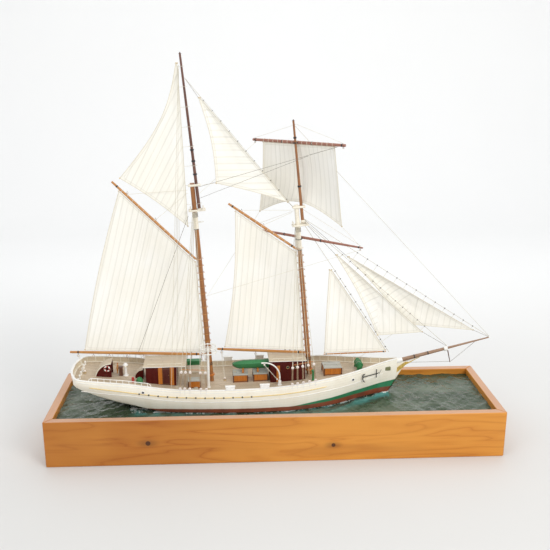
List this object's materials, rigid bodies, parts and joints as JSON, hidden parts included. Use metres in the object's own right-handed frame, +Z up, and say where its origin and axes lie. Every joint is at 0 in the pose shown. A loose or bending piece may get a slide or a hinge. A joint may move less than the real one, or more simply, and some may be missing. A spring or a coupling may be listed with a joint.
{
  "type": "model sailing ship",
  "caption": "Waterline model of a white-hulled topsail schooner under full sail, set in a painted plaster sea inside a low pine box.",
  "frame": {"origin": "middle of the wooden base underside", "axes": "+Z up, +X along the long side of the base toward the bow, +Y toward the port side"},
  "size_m": [1.005, 0.264, 0.8619],
  "materials": {
    "pine": "honey lacquered pine",
    "plywood": "raw",
    "plaster_sea": "painted plaster with gloss varnish",
    "hull_paint": "cream paint over wood",
    "deck_planks": "matt planked deck",
    "white_paint": "white paint",
    "gilt": "gilded",
    "maroon_paint": "satin maroon paint",
    "varnish": "varnished teak",
    "canvas_roof": "painted canvas over wood",
    "grey_lid": "matt grey paint",
    "green_paint": "satin green paint",
    "white_metal": "white enamel",
    "black_iron": "black",
    "lower_mast": "varnished",
    "topmast": "dark varnish",
    "spar": "golden varnish",
    "cord": "waxed thread",
    "sailcloth": "cotton"
  },
  "bodies": {
    "ship_and_base": {"base_long_boards": "pine", "base_end_boards": "pine", "base_bottom_panel": "plywood", "base_corner_blocks": "plywood", "sea_support_panel": "plywood", "sea": "plaster_sea", "hull": "hull_paint", "stem": "hull_paint", "deck": "deck_planks", "cap_rail": "white_paint", "trailboards": "gilt", "aft_deckhouse": "maroon_paint", "forward_deckhouse": "maroon_paint", "house_joinery": "varnish", "house_roofs": "canvas_roof", "wheel_shelter": "maroon_paint", "lifebuoy": "white_paint", "wheel_pedestal": "varnish", "binnacle": "white_paint", "hatch_coamings": "varnish", "hatch_lids": "grey_lid", "boat": "green_paint", "boat_chocks": "varnish", "ring_stand": "white_metal", "windlass_frame": "green_paint", "anchors": "black_iron", "deck_lockers": "green_paint", "rail_fittings": "white_metal", "main_lower_mast": "lower_mast", "main_topmast": "topmast", "fore_lower_mast": "lower_mast", "fore_topmast": "topmast", "crosstrees": "white_paint", "bowsprit": "spar", "dolphin_striker": "topmast", "topmast_staysail": "sailcloth", "jib": "sailcloth", "flying_jib": "sailcloth", "deadeyes": "white_paint", "shrouds": "cord", "stays": "cord", "sheets_and_braces": "cord"},
    "main_sail_set": {"main_boom": "spar", "main_gaff": "spar", "mainsail": "sailcloth", "gaff_topsail": "sailcloth", "main_hoops_and_halyards": "cord"},
    "fore_sail_set": {"fore_boom": "spar", "fore_gaff": "spar", "foresail": "sailcloth", "fore_hoops_and_halyards": "cord"},
    "yard_set": {"fore_yard": "topmast", "topsail_yard": "topmast", "square_topsail": "sailcloth", "yard_lifts": "cord"},
    "staysail_set": {"staysail_club": "spar", "fore_staysail": "sailcloth"},
    "wheel": {"steering_wheel": "varnish"},
    "drum": {"windlass_drum": "green_paint"},
    "davit_arm": {"davit": "white_metal"}
  },
  "joints": [
    {"name": "main_boom_swing", "type": "hinge", "parent": "ship_and_base", "child": "main_sail_set", "pos_m": [-0.14741, 0.00785, 0.147], "axis": [-0.0697, -0.0024, 0.9976], "range_deg": [-8, 8]},
    {"name": "fore_boom_swing", "type": "hinge", "parent": "ship_and_base", "child": "fore_sail_set", "pos_m": [0.07965, 0.01578, 0.152], "axis": [-0.0871, -0.003, 0.9962], "range_deg": [-8, 8]},
    {"name": "yard_brace", "type": "hinge", "parent": "ship_and_base", "child": "yard_set", "pos_m": [0.0523, 0.01483, 0.46481], "axis": [-0.046, -0.0016, 0.9989], "range_deg": [-20, 3]},
    {"name": "staysail_club_swing", "type": "hinge", "parent": "ship_and_base", "child": "staysail_set", "pos_m": [0.26584, 0.02228, 0.191], "axis": [-0.5515, -0.0193, 0.8339], "range_deg": [-10, 10]},
    {"name": "steering_wheel_turn", "type": "hinge", "parent": "ship_and_base", "child": "wheel", "pos_m": [-0.35778, 0.00051, 0.17191], "axis": [0.9994, 0.0349, 0], "continuous": true},
    {"name": "windlass_turn", "type": "hinge", "parent": "ship_and_base", "child": "drum", "pos_m": [0.19495, 0.01781, 0.16485], "axis": [-0.0349, 0.9994, 0], "continuous": true},
    {"name": "davit_swivel", "type": "hinge", "parent": "ship_and_base", "child": "davit_arm", "pos_m": [0.00853, -0.03073, 0.14291], "axis": [0, 0, 1], "range_deg": [-15, 75]}
  ]
}
